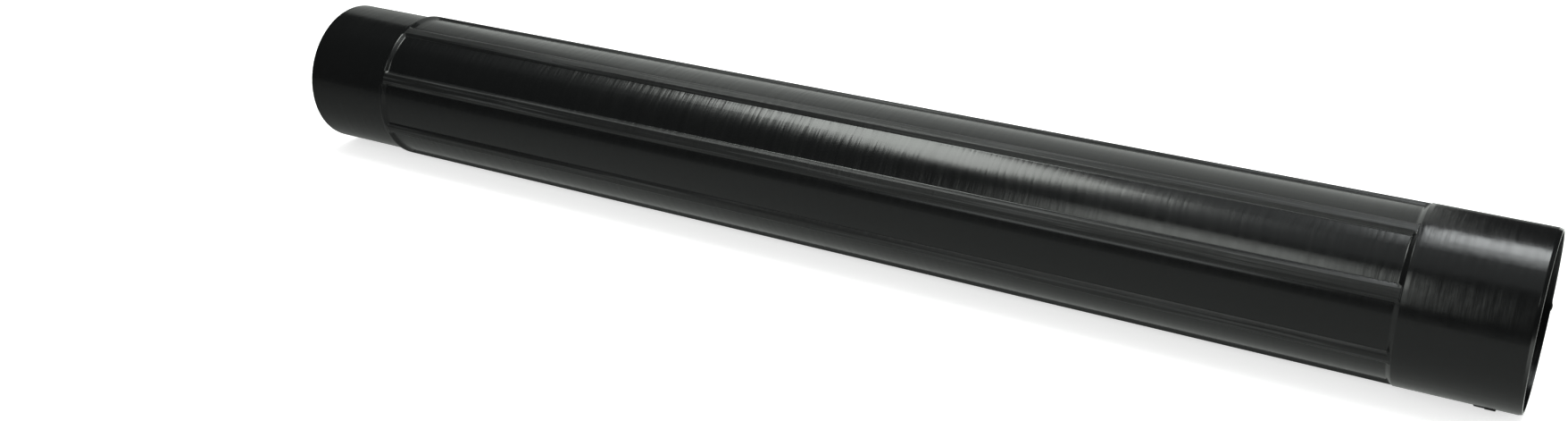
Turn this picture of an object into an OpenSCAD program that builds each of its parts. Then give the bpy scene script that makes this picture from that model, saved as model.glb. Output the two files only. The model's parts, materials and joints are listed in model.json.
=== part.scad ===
// Suction tube of a garden leaf vacuum: one hollow moulding of black plastic.
// The plain spigot end goes into the socket of the next tube, up to a stop ring.
// Between the ends, eight ribs divide the wall into eight long sunken panels.
// The tube lies on its side along X, on the plane Z = 0, with the middle of its
// length over the origin. The spigot is at -X, and the socket opens towards +X.

/* [Tube] */
// Length from the spigot's end to the socket's mouth
tube_length = 900; // [600:10:1200]
// Diameter over the rib crests
body_d = 110; // [100:1:120]
// Thickness of the wall, the same behind ribs and panels
wall = 1.9; // [1.5:0.1:2.1]

/* [Spigot] */
// Length of the plain end, up to the stop ring
spigot_length = 71; // [50:1:90]
// How far the plain end lies below the rib crests
spigot_step = 1.7; // [1.4:0.1:2]
// Width of the stop ring's crest
ring_w = 2.4; // [2:0.1:6]
// How far the stop ring lies below the rib crests
ring_step = 0.2; // [0.1:0.05:0.4]

/* [Socket] */
// Length of the wide end, from its heel to its mouth
socket_length = 72; // [50:1:90]
// Gap between a spigot and the socket that it sits in
fit_gap = 0.2; // [0.1:0.05:0.4]
// Length of the band at the heel that stays at full size, and rests on the floor
heel_band = 3; // [2:0.5:10]
// How much the outside of the socket draws in from there to the mouth
socket_draft = 0.3; // [0.1:0.05:0.5]

/* [Ribs and panels] */
// Number of ribs, with two of them straddling the floor
rib_count = 8; // [4:2:10]
// Depth of a panel below the rib crests
panel_depth = 2.2; // [1.5:0.1:2.6]
// Width of a rib at its crest
rib_crest_w = 5.6; // [4:0.2:8]
// Width of a rib at its foot
rib_foot_w = 11; // [10:0.2:14]
// Length of the slope that closes a panel at each end
panel_ramp = 3.2; // [2.6:0.1:6]

/* [Rounding] */
// Radius of raised edges
edge_r = 0.9; // [0.3:0.1:1]
// Radius of hollow corners
root_r = 1.3; // [0.5:0.1:1.5]
// Radius of the outer edge of the lip at either end
lip_r = 1; // [0.3:0.1:1]
// Radius of the inner edge of the lip at either end
inner_lip_r = 0.4; // [0.2:0.1:0.4]

/* [Locking pad] */
// Angle of the pad round the tube, from the top towards -Y
pad_angle = 157.5; // [0:0.5:360]
// Distance from the pad's outer end to the mouth
pad_to_mouth = 14.6; // [5:0.1:30]
// Length of each of the pad's two steps
pad_step_l = 6; // [3:0.5:9]
// Width of the pad round the tube
pad_w = 10; // [5:0.5:20]
// Height of the pad's lower step above the socket
pad_low = 0.7; // [0.4:0.1:1]
// Height of the pad's upper step above the socket
pad_high = 1.1; // [0.8:0.1:1.5]

/* [Burr] */
// Angle of the moulding burr on the mouth, from the top towards -Y
burr_angle = 257; // [0:1:360]
// Width of the burr round the mouth
burr_w = 4; // [2:0.5:8]
// How far the burr stands out of the mouth
burr_proud = 0.8; // [0.4:0.1:1]

/* [Hidden] */
$fn = 96;
ARC_STEPS = 6;    // straight pieces that stand for a rounded corner
OVERLAP = 1;      // how far a cutting or clipping shape runs past what it trims
CHORD_ANGLE = 3;  // span of the chord that leads from a rib's foot into the panel

// Radii
crest_r = body_d / 2;
panel_r = crest_r - panel_depth;
ring_r = crest_r - ring_step;
spigot_r = crest_r - spigot_step;
bore_r = spigot_r + fit_gap;
heel_r = bore_r + wall;
mouth_r = heel_r - socket_draft;

// Places along X
x_end = -tube_length / 2;
x_mouth = tube_length / 2;
x_ring = x_end + spigot_length;
x_panel_a = x_ring + ring_w + panel_ramp;
x_heel = x_mouth - socket_length;
x_panel_b = x_heel - panel_ramp;

// The ring's front corner takes nearly all of its height
ring_edge_r = min(edge_r, 0.6 * (ring_r - spigot_r));
ring_root_r = min(root_r, 0.3 * (ring_r - spigot_r));

// The wall keeps its thickness on the heel's slope, so the inside starts later
heel_slope = atan((heel_r - panel_r) / panel_ramp);
heel_shift = wall * tan(heel_slope / 2);

// A rib's channel is narrower than the rib, because the wall keeps its thickness
flank_angle = atan((rib_foot_w - rib_crest_w) / (2 * panel_depth));
channel_inset = 2 * wall * (1 / cos(flank_angle) - tan(flank_angle));

// A corner b between points a and c, rounded to radius r
function rounded_corner(a, b, c, r) =
    let (
        u = (a - b) / norm(a - b),
        v = (c - b) / norm(c - b),
        half = acos(u * v) / 2,
        centre = b + (u + v) / norm(u + v) * r / sin(half),
        from = b + u * r / tan(half) - centre,
        to = b + v * r / tan(half) - centre,
        a0 = atan2(from[1], from[0]),
        turn = atan2(from[0] * to[1] - from[1] * to[0], from * to)
    )
    [for (i = [0:ARC_STEPS])
        centre + r * [cos(a0 + turn * i / ARC_STEPS), sin(a0 + turn * i / ARC_STEPS)]];

// An outline from corners [x, y, radius]; a radius of 0 leaves the corner sharp
function rounded_outline(corners) =
    let (n = len(corners), p = [for (k = corners) [k[0], k[1]]])
    [for (i = [0:n - 1])
        each corners[i][2] == 0
            ? [p[i]]
            : rounded_corner(p[(i + n - 1) % n], p[i], p[(i + 1) % n], corners[i][2])];

// A point at radius r and angle a from the top of a cross-section
function polar(r, a) = [r * sin(a), r * cos(a)];

// Turns an outline of [radius, place along X] round the tube's axis
module turned(outline, start = 0, angle = 360) {
    rotate([0, 90, 0])
        rotate([0, 0, start])
            rotate_extrude(angle = angle)
                polygon(outline);
}

// Half of the tube's lengthwise section, without its ribs
module wall_round() {
    turned(rounded_outline([
        [spigot_r, x_end, lip_r],
        [spigot_r, x_ring, ring_root_r],
        [ring_r, x_ring, ring_edge_r],
        [ring_r, x_ring + ring_w, edge_r],
        [panel_r, x_panel_a, root_r],
        [panel_r, x_panel_b, root_r],
        [heel_r, x_heel, edge_r],
        [heel_r, x_heel + heel_band, 0],
        [mouth_r, x_mouth, lip_r],
        [bore_r, x_mouth, inner_lip_r],
        [bore_r, x_heel + heel_shift, edge_r],
        [panel_r - wall, x_panel_b + heel_shift, edge_r],
        [panel_r - wall, x_panel_a, 0],
        [spigot_r - wall, x_ring, 0],
        [spigot_r - wall, x_end, inner_lip_r],
    ]));
}

// Cross-section of a rib, or of the channel behind it: a flat crest, two sloping
// flanks, and hollow corners that run out just below the round wall
function rib_outline(low_r, high_r, crest_w, foot_w, crest_round, foot_round) =
    let (
        crest_a = asin(crest_w / 2 / high_r),
        foot_a = asin(foot_w / 2 / low_r)
    )
    rounded_outline([for (side = [-1, 1])
        each let (
            half = [
                [each polar(low_r - OVERLAP, side * (foot_a + CHORD_ANGLE)), 0],
                [each polar(low_r, side * (foot_a + CHORD_ANGLE)), 0],
                [each polar(low_r, side * foot_a), foot_round],
                [each polar(high_r, side * crest_a), crest_round],
            ]
        )
        side < 0 ? half : [for (i = [len(half) - 1:-1:0]) half[i]]]);

// The same bar for each rib, all round the tube
module bars(outline, x0, x1) {
    for (i = [0:rib_count - 1])
        rotate([(i + 0.5) * 360 / rib_count, 0, 0])
            translate([x0, 0, 0])
                rotate([90, 0, 90])
                    linear_extrude(x1 - x0)
                        polygon(outline);
}

// Ribs: from the stop ring to the slope of the heel. They start half-way through
// the thickness of the wall, so that nothing of them shows inside the tube.
module ribs() {
    root = panel_r - wall / 2;
    top = crest_r + OVERLAP;
    x_root = x_panel_b + heel_shift / 2;
    intersection() {
        bars(
            rib_outline(panel_r, crest_r, rib_crest_w, rib_foot_w, edge_r, root_r),
            x_ring, x_mouth
        );
        turned([
            [root, x_ring + ring_w / 2],
            [ring_r - ring_step, x_ring + ring_w / 2],
            [top, x_ring + ring_w + OVERLAP],
            [top, x_root + (top - root) / tan(heel_slope)],
            [root, x_root],
        ]);
    }
}

// Channels inside the ribs, open into the bore of the tube
module channels() {
    intersection() {
        bars(
            rib_outline(
                panel_r - wall, crest_r - wall,
                rib_crest_w - channel_inset, rib_foot_w - channel_inset,
                edge_r / 2, edge_r / 2
            ),
            x_panel_a, x_mouth
        );
        turned([
            [0, x_panel_a],
            [panel_r - wall, x_panel_a],
            [crest_r, x_panel_a + panel_ramp],
            [crest_r, x_heel + OVERLAP],
            [0, x_heel + OVERLAP],
        ]);
    }
}

// A piece of a ring, width w, from radius r0 to r1 and from x0 to x1
module ring_piece(at, w, r0, r1, x0, x1) {
    span = 2 * asin(w / 2 / r1);
    turned([[r0, x0], [r1, x0], [r1, x1], [r0, x1]], 180 + at - span / 2, span);
}

// Low pad on the socket, in two steps that rise towards the mouth
module locking_pad() {
    x_pad = x_mouth - pad_to_mouth;
    under_r = bore_r + wall / 2;
    ring_piece(pad_angle, pad_w, under_r, heel_r + pad_low, x_pad - 2 * pad_step_l, x_pad);
    ring_piece(pad_angle, pad_w, under_r, heel_r + pad_high, x_pad - pad_step_l, x_pad);
}

// Scrap of flash that the trimming left on the mouth
module burr() {
    ring_piece(
        burr_angle, burr_w,
        bore_r + inner_lip_r, mouth_r - inner_lip_r,
        x_mouth - lip_r, x_mouth + burr_proud
    );
}

module suction_tube() {
    color("#26282a")
        translate([0, 0, heel_r])
            difference() {
                union() {
                    wall_round();
                    ribs();
                    locking_pad();
                    burr();
                }
                channels();
            }
}

suction_tube();
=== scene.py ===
# %% [markdown]
# # Suction tube of a garden leaf vacuum
# The object is one hollow moulding of black plastic, 0.9 m long. It has a plain spigot,
# a stop ring, eight lengthwise ribs with sunken panels between them, and a socket.
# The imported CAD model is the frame: it fixes every size and place. This script makes a
# finer skin for the same tube, gives it its finish, and sets up the camera and the light.

# %% Load the frame
import json
from collections import namedtuple
from math import ceil, cos, inf, pi, radians, sin, tan

import bpy
from mathutils import Matrix, Vector


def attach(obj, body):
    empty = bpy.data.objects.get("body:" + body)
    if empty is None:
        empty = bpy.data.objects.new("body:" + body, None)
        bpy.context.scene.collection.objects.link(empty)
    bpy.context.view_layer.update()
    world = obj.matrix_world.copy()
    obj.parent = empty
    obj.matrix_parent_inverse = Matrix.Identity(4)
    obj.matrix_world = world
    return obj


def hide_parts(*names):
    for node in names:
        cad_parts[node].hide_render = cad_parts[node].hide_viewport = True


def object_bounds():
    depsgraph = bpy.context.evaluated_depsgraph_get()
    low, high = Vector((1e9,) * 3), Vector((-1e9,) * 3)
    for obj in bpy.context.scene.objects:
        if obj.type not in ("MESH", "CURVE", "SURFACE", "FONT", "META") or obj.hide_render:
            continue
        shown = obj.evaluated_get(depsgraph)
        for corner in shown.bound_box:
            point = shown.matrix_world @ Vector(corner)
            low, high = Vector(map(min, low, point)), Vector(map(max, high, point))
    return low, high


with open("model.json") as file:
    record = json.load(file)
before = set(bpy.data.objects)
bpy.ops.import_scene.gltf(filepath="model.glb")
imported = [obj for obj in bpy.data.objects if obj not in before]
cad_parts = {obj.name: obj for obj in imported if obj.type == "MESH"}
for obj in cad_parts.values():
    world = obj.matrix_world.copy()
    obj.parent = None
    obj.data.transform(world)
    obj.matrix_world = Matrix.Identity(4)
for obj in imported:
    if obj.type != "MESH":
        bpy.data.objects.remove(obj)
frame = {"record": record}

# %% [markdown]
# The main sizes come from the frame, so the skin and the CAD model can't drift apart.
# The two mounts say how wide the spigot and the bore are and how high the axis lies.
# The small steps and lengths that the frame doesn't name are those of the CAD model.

MM = 0.001
TUBE = "suction_tube"

WALL = 1.9 * MM
SPIGOT_LENGTH = 71 * MM
SPIGOT_STEP = 1.7 * MM
RING_W = 2.4 * MM
RING_STEP = 0.2 * MM
SOCKET_LENGTH = 72 * MM
SOCKET_DRAFT = 0.3 * MM
HEEL_BAND = 3 * MM
PANEL_DEPTH = 2.2 * MM
PANEL_RAMP = 3.2 * MM
BURR_PROUD = 0.8 * MM

cad_low, cad_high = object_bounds()
mounts = {mount["name"]: mount for mount in frame["record"]["mounts"]}
axis_height = mounts["socket"]["pos_m"][2]
spigot_r = mounts["spigot"]["dims"]["r_mm"] * MM
bore_r = mounts["socket"]["dims"]["r_mm"] * MM

heel_r = bore_r + WALL
mouth_r = heel_r - SOCKET_DRAFT
crest_r = spigot_r + SPIGOT_STEP
ring_r = crest_r - RING_STEP
panel_r = crest_r - PANEL_DEPTH

x_end = cad_low[0]
x_mouth = cad_high[0] - BURR_PROUD
x_ring = x_end + SPIGOT_LENGTH
x_panel_a = x_ring + RING_W + PANEL_RAMP
x_heel = x_mouth - SOCKET_LENGTH
x_panel_b = x_heel - PANEL_RAMP
print(f"tube {x_mouth - x_end:.3f} m long, axis {axis_height * 1000:.1f} mm above the floor")

# %% [markdown]
# A moulded tube has no sharp edges: every corner of its lengthwise section is a small
# arc. The section is therefore written as a list of corners, each with its radius, and
# a helper turns each corner into the points of its arc. Each corner also says how far
# apart the rows may lie on the way to the next one. Rows crowd together near a corner,
# because a glossy surface shows every jump in the spacing of its points.

# %% Helpers for a rounded section
Corner = namedtuple("Corner", "x r rounding row_step")
ARC_STEP = radians(12)
FINE_STEP = 0.3 * MM
GROWTH = 1.6


def arc_points(before, corner, after):
    """The points that replace a corner by an arc of its own radius."""
    here = Vector((corner.x, corner.r))
    if corner.rounding == 0:
        return [here]
    u = (Vector((before.x, before.r)) - here).normalized()
    v = (Vector((after.x, after.r)) - here).normalized()
    half = u.angle(v) / 2
    centre = here + (u + v).normalized() * corner.rounding / sin(half)
    start = here + u * corner.rounding / tan(half) - centre
    turn = start.angle_signed(here + v * corner.rounding / tan(half) - centre)
    steps = max(2, ceil(abs(turn) / ARC_STEP))
    return [centre + Matrix.Rotation(-turn * i / steps, 2) @ start for i in range(steps + 1)]


def steps_between(length, fine, coarse):
    """Distances along a straight stretch, fine at both ends and coarse in the middle."""
    if coarse == inf:
        return [fine, length - fine]
    marks, step, reach = [], fine, fine
    while reach < length / 2:
        marks.append(reach)
        step = min(step * GROWTH, coarse)
        reach += step
    return marks + [length - mark for mark in reversed(marks)]


def section_points(corners):
    """A closed section: points (x, r), each with the number of the corner that it follows."""
    count = len(corners)
    arcs = [arc_points(corners[i - 1], corners[i], corners[(i + 1) % count]) for i in range(count)]
    points = []
    for i, corner in enumerate(corners):
        points += [(point, i) for point in arcs[i]]
        start, stop = arcs[i][-1], arcs[(i + 1) % count][0]
        way = stop - start
        fine = min(FINE_STEP, corner.row_step)
        marks = steps_between(way.length, fine, corner.row_step)
        points += [(start + way.normalized() * mark, i) for mark in marks]
    return points


# %% [markdown]
# The blank is the tube before its panels are pressed in: from the ring to the heel it
# has the full radius of the rib crests. Short rows are kept where a panel will end,
# since its rounded corners need them, and the bore is left bare of rows. The inner skin
# runs back from the mouth to the spigot, so the section closes on itself and the wall
# has its true thickness. The socket's lip is finer than in the CAD model: the photograph
# shows a short slope there, as a dark line beside a bright one, and only its last half
# millimetre is round.

# %% Section of the blank
SPIGOT_LIP = 1.1 * MM
LIP_SLOPE = 2.4 * MM
LIP_DROP = 0.7 * MM
LIP_START_ROUNDING = 2.2 * MM
LIP_END_ROUNDING = 0.55 * MM
INNER_LIP = 0.4 * MM
INNER_EDGE = 0.9 * MM
HEEL_EDGE = 0.45 * MM
RING_EDGE = 0.85 * MM
RING_ROOT = 0.4 * MM
END_ZONE = 5 * MM
FINEST, SHORT, MEDIUM, LONG, BARE = 0.225 * MM, 0.45 * MM, 8 * MM, 90 * MM, inf

PAD_EDGE = 0.15 * MM
PAD_STEPS = [x_mouth - d * MM for d in (26.6, 20.6, 14.6)]
PAD_HEIGHTS = [0.7 * MM, 0.35 * MM]

heel_slope = (heel_r - panel_r) / PANEL_RAMP
x_crest_end = x_heel - (heel_r - crest_r) / heel_slope
x_ring_top = x_ring + RING_W / 2
x_band_end = x_heel + HEEL_BAND
inner_shift = WALL / 3


def collar_r(x):
    """Outer radius of the socket, which draws in a little towards the mouth."""
    return heel_r + (mouth_r - heel_r) * (x - x_band_end) / (x_mouth - x_band_end)


pad_rows = [x + d for x in PAD_STEPS for d in (-PAD_EDGE, PAD_EDGE)]
outer_corners = [
    Corner(x_end, spigot_r, SPIGOT_LIP, MEDIUM),
    Corner(x_ring, spigot_r, RING_ROOT, SHORT),
    Corner(x_ring, ring_r, RING_EDGE, SHORT),
    Corner(x_ring_top, ring_r, 0, SHORT),
    Corner(x_ring_top + 2 * (crest_r - ring_r), crest_r, 0, SHORT),
    Corner(x_panel_a + END_ZONE, crest_r, 0, LONG),
    Corner(x_panel_b - END_ZONE, crest_r, 0, SHORT),
    Corner(x_crest_end, crest_r, 0, SHORT),
    Corner(x_heel, heel_r, HEEL_EDGE, SHORT),
    Corner(x_band_end, heel_r, 0, MEDIUM),
    *[Corner(x, collar_r(x), 0, MEDIUM) for x in pad_rows],
    Corner(x_mouth - LIP_SLOPE, mouth_r, LIP_START_ROUNDING, FINEST),
    Corner(x_mouth, mouth_r - LIP_DROP, LIP_END_ROUNDING, SHORT),
]
inner_corners = [
    Corner(x_mouth, bore_r, INNER_LIP, BARE),
    Corner(x_heel + inner_shift, bore_r, INNER_EDGE, SHORT),
    Corner(x_crest_end + inner_shift, crest_r - WALL, 0, LONG),
    Corner(x_panel_a + WALL, crest_r - WALL, 0, SHORT),
    Corner(x_panel_a, spigot_r - WALL, 0, BARE),
    Corner(x_end, spigot_r - WALL, INNER_LIP, SHORT),
]
rows = section_points(outer_corners + inner_corners)
print(len(rows), "rows round the section")

# %% [markdown]
# Round the tube, the columns crowd together at the edge and at the foot of each rib,
# and spread out on the crests and panels. The same spacing helper does this.

# %% Columns round the tube
RIBS = 8
RIB_CREST_W = 5.6 * MM
RIB_FOOT_W = 11 * MM
PAD_ANGLE = radians(157.5)
PAD_W = 10 * MM
BURR_ANGLE = radians(257)
BURR_W = 4 * MM
WIDEST_COLUMN = 3 * MM
SAME_ANGLE = 1e-4

sector = 2 * pi / RIBS


def column_angles():
    """Angles from the top of the tube towards the camera, one for each column."""
    stops = [0, RIB_CREST_W / 2, RIB_FOOT_W / 2, sector * crest_r / 2]
    half = []
    for a, b in zip(stops, stops[1:]):
        half += [a] + [a + d for d in steps_between(b - a, FINE_STEP, WIDEST_COLUMN)]
    half.append(stops[-1])
    offsets = {round(side * arc / crest_r, 6) for arc in half for side in (-1, 1)}
    angles = {(k + 0.5) * sector + offset for k in range(RIBS) for offset in offsets}
    for centre, width in ((PAD_ANGLE, PAD_W), (BURR_ANGLE, BURR_W)):
        for side in (-1, 1):
            edge = centre + side * width / 2 / crest_r
            angles |= {edge - PAD_EDGE / crest_r, edge + PAD_EDGE / crest_r}
    tidy = sorted({round(angle % (2 * pi), 5) for angle in angles})
    return [a for a, b in zip(tidy, tidy[1:] + [tidy[0] + 2 * pi]) if b - a > SAME_ANGLE]


columns = column_angles()
print(len(columns), "columns,", 2 * len(columns) * len(rows), "triangles in the skin")

# %% [markdown]
# Two small things break the symmetry: a stepped pad under the socket, and a scrap of
# flash that trimming left on the mouth. Both are moves of a few points of the blank,
# so they need no joint or seam of their own.

# %% Skin of the blank
BURR_ROOT = 1 * MM


def plateau(value, low, high, edge):
    """1 between low and high, 0 outside, with a short ramp at each end."""
    up = (value - low) / (2 * edge) + 0.5
    down = (high - value) / (2 * edge) + 0.5
    return max(0, min(1, up, down))


def arc_from(angle, centre):
    """Distance round the tube from a centre angle, signed."""
    return ((angle - centre + pi) % (2 * pi) - pi) * crest_r


def pad_rise(x, angle):
    """Height of the stepped pad above the socket."""
    across = plateau(arc_from(angle, PAD_ANGLE), -PAD_W / 2, PAD_W / 2, PAD_EDGE)
    return across * sum(
        height * plateau(x, start, PAD_STEPS[-1], PAD_EDGE)
        for start, height in zip(PAD_STEPS, PAD_HEIGHTS)
    )


def burr_rise(r, angle):
    """How far the scrap of flash stands out of the mouth."""
    across = plateau(arc_from(angle, BURR_ANGLE), -BURR_W / 2, BURR_W / 2, 3 * PAD_EDGE)
    return BURR_PROUD * across * plateau(r, bore_r, mouth_r, 2 * INNER_LIP)


def blank_skin():
    """The closed skin of the blank, as one mesh object."""
    vertices, inside = [], []
    count = len(columns)
    for point, corner in rows:
        inner = corner >= len(outer_corners)
        for angle in columns:
            x, r = point
            if not inner:
                r += pad_rise(x, angle)
            from_root = x - (x_mouth - BURR_ROOT)
            if from_root > 0:
                x += burr_rise(r, angle) * from_root / BURR_ROOT
            vertices.append((x, -r * sin(angle), axis_height + r * cos(angle)))
            inside.append(float(inner))
    faces = []
    for i in range(len(rows)):
        here, following = i * count, (i + 1) % len(rows) * count
        for j in range(count):
            k = (j + 1) % count
            faces.append((here + j, here + k, following + k, following + j))
    mesh = bpy.data.meshes.new("tube_skin")
    mesh.from_pydata(vertices, [], faces)
    mesh.attributes.new("inside", "FLOAT", "POINT").data.foreach_set("value", inside)
    skin = bpy.data.objects.new("tube_skin", mesh)
    bpy.context.scene.collection.objects.link(skin)
    return skin


tube_skin = blank_skin()
print(len(tube_skin.data.vertices), "points in the blank")

# %% [markdown]
# Node trees are easier to read as formulas. A Value stands for one output in a tree, and
# a sum or a product of values adds the Math node that works it out. The geometry tree,
# the material, the world and the floor are all written this way.

# %% Helpers for node trees


class Value:
    """An output in a node tree, which can be used in sums like a plain number."""

    def __init__(self, socket):
        self.socket = socket

    def __add__(self, other):
        return calc("ADD", self, other)

    def __radd__(self, other):
        return calc("ADD", other, self)

    def __sub__(self, other):
        return calc("SUBTRACT", self, other)

    def __rsub__(self, other):
        return calc("SUBTRACT", other, self)

    def __mul__(self, other):
        return calc("MULTIPLY", self, other)

    def __rmul__(self, other):
        return calc("MULTIPLY", other, self)

    def __truediv__(self, other):
        return calc("DIVIDE", self, other)

    def __rtruediv__(self, other):
        return calc("DIVIDE", other, self)

    def __neg__(self):
        return calc("MULTIPLY", self, -1)

    def __abs__(self):
        return calc("ABSOLUTE", self)


def add_node(tree, kind, **settings):
    """A new node with some of its properties set."""
    node = tree.nodes.new(kind)
    for name, value in settings.items():
        setattr(node, name, value)
    return node


def feed(socket, value):
    """Puts a plain value on a socket, or links another node's output to it."""
    if isinstance(value, Value):
        socket.id_data.links.new(value.socket, socket)
    else:
        socket.default_value = value


def calc(operation, *values):
    """The result of one Math node, in the tree that its values come from."""
    tree = next(value.socket.id_data for value in values if isinstance(value, Value))
    node = add_node(tree, "ShaderNodeMath", operation=operation)
    for socket, value in zip(node.inputs, values):
        feed(socket, value)
    return Value(node.outputs[0])


def axes(vector):
    """The three numbers in a vector."""
    node = add_node(vector.socket.id_data, "ShaderNodeSeparateXYZ")
    feed(node.inputs[0], vector)
    return [Value(socket) for socket in node.outputs]


def fade(place, start, stop, level=0):
    """A smooth change from a level at the start to 1 at the stop."""
    node = add_node(place.socket.id_data, "ShaderNodeMapRange", interpolation_type="SMOOTHSTEP")
    for socket, value in zip(node.inputs, (place, start, stop, level, 1)):
        feed(socket, value)
    return Value(node.outputs[0])


# %% [markdown]
# The panels follow one rule, repeated eight times: inside a long rounded rectangle the
# wall lies lower, and outside it the wall climbs back up a slope. That is a natural job
# for Geometry Nodes. The tree measures each point's distance from the rectangle, turns
# it into a height, and keeps the lower of that height and the blank, with a smooth
# minimum that rounds the edge. The inner skin takes the same rule, one wall deeper.
# The tree also marks how far up a rib each point lies, for the material to use.

# %% Geometry Nodes tree for the panels
TREE_INPUTS = {
    "Panels": "NodeSocketInt",
    "Axis Height": "NodeSocketFloat",
    "Floor Radius": "NodeSocketFloat",
    "Crest Radius": "NodeSocketFloat",
    "Wall": "NodeSocketFloat",
    "First X": "NodeSocketFloat",
    "Last X": "NodeSocketFloat",
    "Rib Foot Width": "NodeSocketFloat",
    "Corner Radius": "NodeSocketFloat",
    "Side Slope": "NodeSocketFloat",
    "End Slope": "NodeSocketFloat",
    "Inner Growth": "NodeSocketFloat",
    "Foot Rounding": "NodeSocketFloat",
    "Edge Rounding": "NodeSocketFloat",
    "Material": "NodeSocketMaterial",
}


def distance_across(given, y, z, growth):
    """How far a point lies outside the nearest panel's long sides, round the tube."""
    half_span = pi / given["Panels"]
    angle = calc("WRAP", calc("ARCTAN2", y, z), half_span, -half_span)
    half_foot = given["Rib Foot Width"] / 2 - growth
    half_width = half_span * given["Crest Radius"] - half_foot
    return abs(angle) * given["Crest Radius"] - half_width


def distance_along(given, x, growth):
    """How far a point lies past the panels' ends, along the tube."""
    middle = (given["First X"] + given["Last X"]) / 2
    half_length = given["Last X"] - middle + growth
    return abs(x - middle) - half_length


def panel_tree():
    """Node tree that presses sunken panels into a tube along X."""
    tree = bpy.data.node_groups.new("sunken_panels", "GeometryNodeTree")
    tree.interface.new_socket("Geometry", in_out="INPUT", socket_type="NodeSocketGeometry")
    for name, kind in TREE_INPUTS.items():
        tree.interface.new_socket(name, in_out="INPUT", socket_type=kind)
    tree.interface.new_socket("Geometry", in_out="OUTPUT", socket_type="NodeSocketGeometry")
    given = {socket.name: Value(socket) for socket in add_node(tree, "NodeGroupInput").outputs}

    inside_node = add_node(tree, "GeometryNodeInputNamedAttribute", data_type="FLOAT")
    inside_node.inputs["Name"].default_value = "inside"
    inside = Value(inside_node.outputs["Attribute"])
    x, y, z = axes(Value(add_node(tree, "GeometryNodeInputPosition").outputs[0]))
    z = z - given["Axis Height"]
    radius = calc("SQRT", y * y + z * z)

    corner = given["Corner Radius"]
    growth = inside * given["Inner Growth"]
    stretch = given["End Slope"] / given["Side Slope"]
    past_end = distance_along(given, x, growth)
    across = distance_across(given, y, z, growth) + corner
    along = past_end * stretch + corner
    out_across = calc("POWER", calc("MAXIMUM", across, 0), 2)
    out_along = calc("POWER", calc("MAXIMUM", along, 0), 2)
    within = calc("MINIMUM", calc("MAXIMUM", across, along), 0)
    distance = calc("SQRT", out_across + out_along) + within - corner

    climb = calc("SMOOTH_MAX", distance * given["Side Slope"], 0, given["Foot Rounding"])
    pocket = given["Floor Radius"] - inside * given["Wall"] + climb
    new_radius = calc("SMOOTH_MIN", pocket, radius, given["Edge Rounding"])
    scale = new_radius / radius
    new_place = add_node(tree, "ShaderNodeCombineXYZ")
    for socket, value in zip(new_place.inputs, (x, y * scale, given["Axis Height"] + z * scale)):
        feed(socket, value)

    depth = given["Crest Radius"] - given["Floor Radius"]
    height = (new_radius - given["Floor Radius"]) / depth
    on_side = 1 - out_along / (out_across + out_along)
    on_length = calc("LESS_THAN", past_end, depth)

    mark = add_node(tree, "GeometryNodeStoreNamedAttribute", data_type="FLOAT", domain="POINT")
    move = add_node(tree, "GeometryNodeSetPosition")
    realize = add_node(tree, "GeometryNodeRealizeInstances")
    paint = add_node(tree, "GeometryNodeSetMaterial")
    result = add_node(tree, "NodeGroupOutput")
    mark.inputs["Name"].default_value = "rib_crest"
    feed(mark.inputs["Value"], calc("MAXIMUM", height, 0) * on_length * on_side)
    feed(move.inputs["Position"], Value(new_place.outputs[0]))
    feed(paint.inputs["Material"], given["Material"])
    feed(mark.inputs["Geometry"], given["Geometry"])
    for before, after in ((mark, move), (move, realize), (realize, paint), (paint, result)):
        feed(after.inputs["Geometry"], Value(before.outputs["Geometry"]))
    return tree


# %% [markdown]
# The plastic is black all through, and what shows is nearly all reflection. So most of
# its character lies in a roughness and in a very low relief. Fine ripples run across
# the panels, which the moulding leaves, and fade out towards the socket. The socket has
# slow waves of its own. The rib crests rub against things, so they are duller, with
# streaks along them, and the streaks are painted paler: partly wear, partly painted sheen.
# Along the foot of one rib, from the middle of the tube to just before the socket, a paler
# line is painted into the colour as a painted highlight.

# %% Black plastic
PLASTIC_COLOUR = (0.004, 0.0043, 0.0044, 1)
# Paler colour for the painted highlight line and for the crest streaks, which are partly wear and
# partly painted sheen.
HIGHLIGHT_AND_WEAR_COLOUR = (0.068, 0.07, 0.07, 1)
PANEL_ROUGHNESS = 0.21
PATCH_SCALE = 25
PATCH_CONTRAST = 0.06
CREST_DULLING = 0.25
STREAK_CONTRAST = 0.3
RIPPLE_CONTRAST = 0.14
# How far the crest streaks are painted paler: partly wear, partly painted sheen.
CREST_WEAR_AND_SHEEN = 0.4

RIPPLE_PITCH, RIPPLE_HEIGHT = 3 * MM, 0.22 * MM
STREAK_PITCH, STREAK_HEIGHT = 1.5 * MM, 0.2 * MM
WAVE_PITCH, WAVE_HEIGHT = 15 * MM, 0.2 * MM
RIPPLE_STRETCH = (1, 0.1, 0.1)
STREAK_STRETCH = (0.015, 1, 1)
STREAKS_ON_PANELS = 1 / 30
CALM_END = (0.2, 0, 0.3)

# Place of the painted highlight line along the foot of one rib.
HIGHLIGHT_LINE_ANGLE = radians(74.3)
HIGHLIGHT_LINE_WIDTH = 2.8 * MM
HIGHLIGHT_LINE_START = (0, 0.15)
HIGHLIGHT_LINE_END = (0.36, 0.25)


def noise(vector, scale):
    """A soft random value from 0 to 1."""
    node = add_node(vector.socket.id_data, "ShaderNodeTexNoise")
    feed(node.inputs["Vector"], vector)
    node.inputs["Scale"].default_value = scale
    node.inputs["Detail"].default_value = 2
    return Value(node.outputs["Fac"])


def stretched(vector, scale):
    """A vector scaled by its own amount along each axis."""
    node = add_node(vector.socket.id_data, "ShaderNodeVectorMath", operation="MULTIPLY")
    feed(node.inputs[0], vector)
    node.inputs[1].default_value = scale
    return Value(node.outputs[0])


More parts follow.
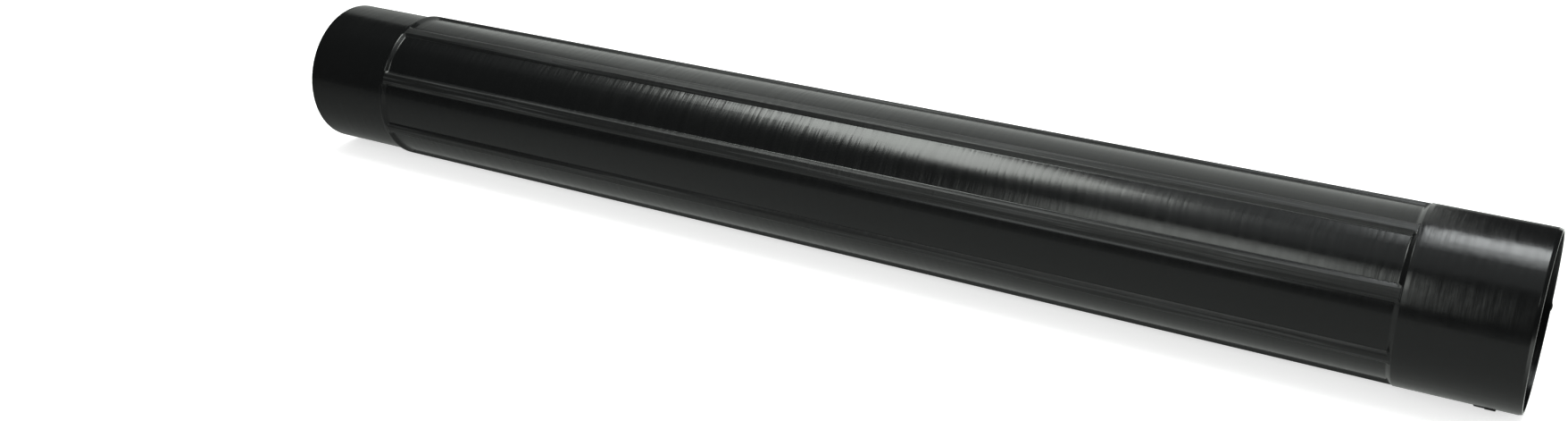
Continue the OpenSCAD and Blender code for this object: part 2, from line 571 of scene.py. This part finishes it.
def painted_highlight_line(place):
    """1 along the painted highlight line at one rib's foot, 0 elsewhere."""
    x, y, z = axes(place)
    off_line = y * cos(HIGHLIGHT_LINE_ANGLE) + (z - axis_height) * sin(HIGHLIGHT_LINE_ANGLE)
    line = fade(abs(off_line), HIGHLIGHT_LINE_WIDTH / 2, 0) * calc("LESS_THAN", y, 0)
    return line * fade(x, *HIGHLIGHT_LINE_START) * fade(x, *HIGHLIGHT_LINE_END)


def plastic_roughness(place, crest, streaks, ripples):
    """Glossy panels with faint patches and bars across them, and duller rib crests."""
    patches = PATCH_CONTRAST * (noise(place, PATCH_SCALE) - 0.5)
    bars = RIPPLE_CONTRAST * (ripples - 0.5)
    dulling = CREST_DULLING + STREAK_CONTRAST * (streaks - 0.5)
    return PANEL_ROUGHNESS + patches + bars + dulling * crest


def plastic_colour(place, crest, streaks):
    """Black, with a painted highlight line at one rib's foot and crest streaks painted paler,
    partly wear and partly painted sheen.
    """
    # Crest streaks painted paler, partly wear and partly painted sheen.
    wear_and_sheen = CREST_WEAR_AND_SHEEN * crest * fade(streaks, 0.5, 0.7)
    mix = add_node(place.socket.id_data, "ShaderNodeMix", data_type="RGBA")
    factor, black, pale, result = mix.inputs[0], mix.inputs[6], mix.inputs[7], mix.outputs[2]
    # Mixes in the paler colour along the painted highlight line and the painted crest sheen.
    feed(factor, calc("MAXIMUM", painted_highlight_line(place), wear_and_sheen))
    feed(black, PLASTIC_COLOUR)
    feed(pale, HIGHLIGHT_AND_WEAR_COLOUR)
    return Value(result)


def plastic_relief(place, crest, streaks, ripples):
    """Ripples across the panels, streaks along the tube and slow waves on the socket."""
    x = axes(place)[0]
    ripples = ripples * fade(x, *CALM_END)
    waves = noise(place, 1 / WAVE_PITCH) * fade(x, x_heel, x_band_end)
    streaks = streaks * (crest + STREAKS_ON_PANELS)
    bump = add_node(place.socket.id_data, "ShaderNodeBump")
    bump.inputs["Strength"].default_value = 1
    bump.inputs["Distance"].default_value = 1
    relief = RIPPLE_HEIGHT * ripples + STREAK_HEIGHT * streaks + WAVE_HEIGHT * waves
    feed(bump.inputs["Height"], relief)
    return Value(bump.outputs[0])


def black_plastic():
    """Moulded black plastic that has been handled, with painted highlights in its colour."""
    material = bpy.data.materials.new("black_plastic")
    material.use_nodes = True
    tree = material.node_tree
    place = Value(add_node(tree, "ShaderNodeTexCoord").outputs["Object"])
    mark = add_node(tree, "ShaderNodeAttribute", attribute_name="rib_crest")
    crest = calc("MINIMUM", 1.5 * Value(mark.outputs["Fac"]), 1)
    streaks = noise(stretched(place, STREAK_STRETCH), 1 / STREAK_PITCH)
    ripples = noise(stretched(place, RIPPLE_STRETCH), 1 / RIPPLE_PITCH)
    shader = tree.nodes["Principled BSDF"]
    shader.inputs["IOR"].default_value = 1.5
    feed(shader.inputs["Roughness"], plastic_roughness(place, crest, streaks, ripples))
    feed(shader.inputs["Base Color"], plastic_colour(place, crest, streaks))
    feed(shader.inputs["Normal"], plastic_relief(place, crest, streaks, ripples))
    return material


plastic = black_plastic()
print(len(plastic.node_tree.nodes), "nodes in the material")

# %% [markdown]
# Now the tree runs on the blank. Its result replaces the blank's mesh, so the piece ends
# as a plain mesh without a modifier. The frame then learns that this skin rides on the
# fixed body and that the CAD tube, whose place it takes, is not shown beside it.

# %% Press the panels
CORNER_RADIUS = 0.3 * MM
FOOT_ROUNDING = 0.3 * MM
EDGE_ROUNDING = 0.45 * MM
INNER_GROWTH = 0.7 * MM


def run_tree(piece, tree, values):
    """Runs a geometry tree on a piece and leaves its result as a plain mesh."""
    modifier = piece.modifiers.new(tree.name, "NODES")
    modifier.node_group = tree
    for item in tree.interface.items_tree:
        if item.in_out == "INPUT" and item.name in values:
            modifier[item.identifier] = values[item.name]
    graph = bpy.context.evaluated_depsgraph_get()
    mesh = bpy.data.meshes.new_from_object(piece.evaluated_get(graph))
    piece.modifiers.clear()
    piece.data = mesh


run_tree(tube_skin, panel_tree(), {
    "Panels": RIBS,
    "Axis Height": axis_height,
    "Floor Radius": panel_r,
    "Crest Radius": crest_r,
    "Wall": WALL,
    "First X": x_panel_a,
    "Last X": x_panel_b,
    "Rib Foot Width": RIB_FOOT_W,
    "Corner Radius": CORNER_RADIUS,
    "Side Slope": PANEL_DEPTH / (RIB_FOOT_W / 2 - RIB_CREST_W / 2),
    "End Slope": heel_slope,
    "Inner Growth": INNER_GROWTH,
    "Foot Rounding": FOOT_ROUNDING,
    "Edge Rounding": EDGE_ROUNDING,
    "Material": plastic,
})
tube_skin.data.polygons.foreach_set("use_smooth", [True] * len(tube_skin.data.polygons))
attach(tube_skin, "root")
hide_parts(TUBE)
print(len(tube_skin.data.polygons), "faces in the finished skin")

# %% [markdown]
# The camera stands where the photograph's camera stood: in front of the tube and a
# little above it, near the socket end, so the tube runs away to the left. Its place was
# found by matching the tube's outline, and it is given as a place, an aim and a roll.
# The photograph's ribs sit 0.8 degrees further round than those of the tube at rest, so
# the camera and all lamps stand 0.8 degrees round the tube's axis from where they were.

# %% Camera
CAMERA_PLACE = Vector((0.4904, -0.9618, 0.4776))
CAMERA_AIM = Vector((-0.0499, -0.0005, 0.0176))
CAMERA_ROLL = radians(0.63)
CAMERA_LENS = 38.27


def set_camera():
    """The camera where the photograph's camera stood."""
    data = bpy.data.cameras.new("camera")
    data.lens = CAMERA_LENS
    camera = bpy.data.objects.new("camera", data)
    look = CAMERA_AIM - CAMERA_PLACE
    camera.matrix_world = (
        Matrix.Translation(CAMERA_PLACE)
        @ look.to_track_quat("-Z", "Y").to_matrix().to_4x4()
        @ Matrix.Rotation(CAMERA_ROLL, 4, "Z")
    )
    bpy.context.scene.collection.objects.link(camera)
    bpy.context.scene.camera = camera
    return camera


camera = set_camera()
print("camera at", [round(c, 3) for c in camera.matrix_world.translation])

# %% [markdown]
# Black plastic shows hardly any colour of its own, so the light has to be built like a
# set of mirrors: each bright or dark band along the tube is the picture of something
# that stands round it. All of them are area lamps, which the camera can't see. Their
# strength is written as brightness, with white at 1, and overlapping lamps add up.

# %% Helper for lamps
GREENISH = (0.955, 1, 0.955)
BLUISH = (0.955, 1, 1)
DOWN, FRONT, LEFT = (0, 0, -1), (0, -1, 0), (-1, 0, 0)


def area_light(name, place, facing, size, strength, colour, turn=0):
    """A soft rectangular lamp that faces one way, turned about that direction."""
    data = bpy.data.lights.new(name, "AREA")
    data.color = colour
    data.shape = "RECTANGLE"
    data.size, data.size_y = size
    data.energy = strength * pi * size[0] * size[1]
    lamp = bpy.data.objects.new(name, data)
    lamp.matrix_world = (
        Matrix.Translation(place)
        @ Vector(facing).to_track_quat("-Z", "Y").to_matrix().to_4x4()
        @ Matrix.Rotation(turn, 4, "Z")
    )
    lamp.visible_camera = False
    bpy.context.scene.collection.objects.link(lamp)
    return lamp


# %% [markdown]
# Two soft boxes hang overhead. The left one hangs askew and makes the long highlight
# that runs out in a wedge along the near panel, with a dimmer rim and halo round it for
# a soft edge. The right one lights the socket and the panel's end. Weak lamps between
# and beside them keep the dark bands from going quite black.

# %% Lamps overhead
TURN_OF_SOFTBOX = radians(-50)
TURN_OF_GLOW = radians(-42)

area_light("left_softbox", (-0.32, -0.06, 1), DOWN, (0.56, 0.375), 8.3, GREENISH, TURN_OF_SOFTBOX)
area_light("left_rim", (-0.365, -0.08, 1), DOWN, (0.68, 0.46), 1.4, GREENISH, TURN_OF_SOFTBOX)
area_light("left_halo", (-0.8, -0.04, 1), DOWN, (0.5, 0.4), 0.13, BLUISH)
area_light("left_glow", (0.012, -0.25, 1), DOWN, (0.2, 0.3), 0.8, BLUISH, TURN_OF_GLOW)
area_light("right_softbox", (0.45, 0.283, 1), DOWN, (0.34, 0.3), 9, BLUISH)
area_light("right_fill", (0.44, 0.053, 1), DOWN, (0.36, 0.16), 4, BLUISH)
area_light("gap_glow", (0.1, 0.1, 1), DOWN, (0.34, 0.3), 0.45, BLUISH)
area_light("ceiling_glow", (0.35, -0.337, 1), DOWN, (0.9, 0.6), 0.35, BLUISH)
area_light("front_right_strip", (0.85, -0.85, 1), DOWN, (0.2, 0.3), 3, GREENISH)
print(len(bpy.data.lights), "lamps overhead")

# %% [markdown]
# A soft box leans in from above the camera's left and lights the crest of the middle
# rib and the panel above it. Lower and weaker lamps beside it make the greys of the
# tube's lower half.

# %% Lamps in front
LEANING = (0, 1, -0.7)
LEANING_LITTLE = (0, 1, -0.33)

area_light("front_softbox", (0, -0.99, 0.794), LEANING, (0.42, 0.36), 3.4, GREENISH)
area_light("front_fill", (-0.02, -1, 0.434), LEANING_LITTLE, (0.66, 0.36), 1.1, GREENISH)
area_light("front_left_fill", (-0.65, -1, 0.434), LEANING_LITTLE, (0.6, 0.36), 0.33, GREENISH)
print(len(bpy.data.lights), "lamps so far")

# %% [markdown]
# A tall pale backdrop stands behind and lights the tube's upper edge. It is dimmer past
# the spigot. A lamp on the right shines along the tube: it draws the thin bright lines
# on the lip and on the slopes that face it.

# %% Backdrop and side lamp
area_light("backdrop", (-0.475, 1.01, 0.836), FRONT, (1.49, 1.6), 0.77, GREENISH)
area_light("backdrop_end", (-1.5, 1.01, 0.836), FRONT, (0.56, 1.6), 0.45, GREENISH)
area_light("right_wall", (1.7, 0.4, 0.35), LEFT, (1, 0.5), 4, GREENISH)
print(len(bpy.data.lights), "lamps in all")

# %% [markdown]
# The room is set up in the world's shader, with a Light Path node. The camera sees
# white. Light that reaches matt surfaces comes from a plain white dome. Reflections see
# a dark room, as in a real studio, or the tube would look grey all over.

# %% Room
DOME = 0.5
DARK_ROOM = 0.03


def studio_world():
    """White for the camera, a pale dome for matt surfaces and a dark room for reflections."""
    world = bpy.data.worlds.new("studio")
    world.use_nodes = True
    world.cycles.sampling_method = "NONE"
    tree = world.node_tree
    path = add_node(tree, "ShaderNodeLightPath")
    camera_ray = Value(path.outputs["Is Camera Ray"])
    diffuse_ray = Value(path.outputs["Is Diffuse Ray"])
    background = tree.nodes["Background"]
    background.inputs["Color"].default_value = (1, 1, 1, 1)
    strength = (1 - DARK_ROOM) * camera_ray + (DOME - DARK_ROOM) * diffuse_ray + DARK_ROOM
    feed(background.inputs["Strength"], strength)
    return world


bpy.context.scene.world = studio_world()
print("dark room at", DARK_ROOM)

# %% [markdown]
# The floor is a large pale sheet. A little light of its own, for the camera only, lifts
# it to white and leaves the tube's soft shadow. In reflections it is a plain grey,
# since a glossy tube mirrors a floor more evenly than a lit sheet would come out here.
# That grey fades towards the front and the left. Past the mouth it rises steeply,
# because no tube shades the floor there: the lip's lower half mirrors that edge.

# %% Floor
FLOOR_HALF = 4
FLOOR_COLOUR = 0.8
FLOOR_LIFT = 0.65
FLOOR_IN_REFLECTIONS = 0.42
FADE_TO_FRONT = (-1.2, -0.35, 0.07)
FADE_TO_LEFT = (-0.8, -0.1, 0.35)
FLOOR_PAST_MOUTH = 1.3
RISE_PAST_MOUTH = (0.443, 0.452)
RISE_SLANT = 0.35


def floor_in_reflections(place):
    """How bright the floor is in the tube's reflections."""
    x, y, _ = axes(place)
    plain = FLOOR_IN_REFLECTIONS * fade(y, *FADE_TO_FRONT) * fade(x, *FADE_TO_LEFT)
    slant = x + RISE_SLANT * calc("MINIMUM", y, 0)
    return plain + FLOOR_PAST_MOUTH * fade(slant, *RISE_PAST_MOUTH)


def pale_floor():
    """Pale sheet: white with a shadow for the camera, plain grey in reflections."""
    material = bpy.data.materials.new("pale_floor")
    material.use_nodes = True
    tree = material.node_tree
    tree.nodes.remove(tree.nodes["Principled BSDF"])
    path = add_node(tree, "ShaderNodeLightPath")
    sheet = add_node(tree, "ShaderNodeBsdfDiffuse")
    sheet.inputs["Color"].default_value = (FLOOR_COLOUR, FLOOR_COLOUR, FLOOR_COLOUR, 1)
    lift = add_node(tree, "ShaderNodeEmission")
    feed(lift.inputs["Strength"], FLOOR_LIFT * Value(path.outputs["Is Camera Ray"]))
    lit = add_node(tree, "ShaderNodeAddShader")
    feed(lit.inputs[0], Value(sheet.outputs[0]))
    feed(lit.inputs[1], Value(lift.outputs[0]))
    place = Value(add_node(tree, "ShaderNodeTexCoord").outputs["Object"])
    mirrored = add_node(tree, "ShaderNodeEmission")
    mirrored.inputs["Color"].default_value = (*GREENISH, 1)
    feed(mirrored.inputs["Strength"], floor_in_reflections(place))
    blend = add_node(tree, "ShaderNodeMixShader")
    feed(blend.inputs[0], Value(path.outputs["Is Glossy Ray"]))
    feed(blend.inputs[1], Value(lit.outputs[0]))
    feed(blend.inputs[2], Value(mirrored.outputs[0]))
    feed(tree.nodes["Material Output"].inputs["Surface"], Value(blend.outputs[0]))
    return material


def floor_sheet():
    """The floor under the tube, as a flat square."""
    corners = [(x * FLOOR_HALF, y * FLOOR_HALF, 0) for x, y in ((-1, -1), (1, -1), (1, 1), (-1, 1))]
    mesh = bpy.data.meshes.new("floor")
    mesh.from_pydata(corners, [], [(0, 1, 2, 3)])
    mesh.materials.append(pale_floor())
    floor = bpy.data.objects.new("floor", mesh)
    bpy.context.scene.collection.objects.link(floor)
    return floor


floor_sheet()
print("floor", 2 * FLOOR_HALF, "m wide")

# %% [markdown]
# The picture keeps plain colours, without a film look.

# %% Finish
bpy.context.scene.view_settings.view_transform = "Standard"
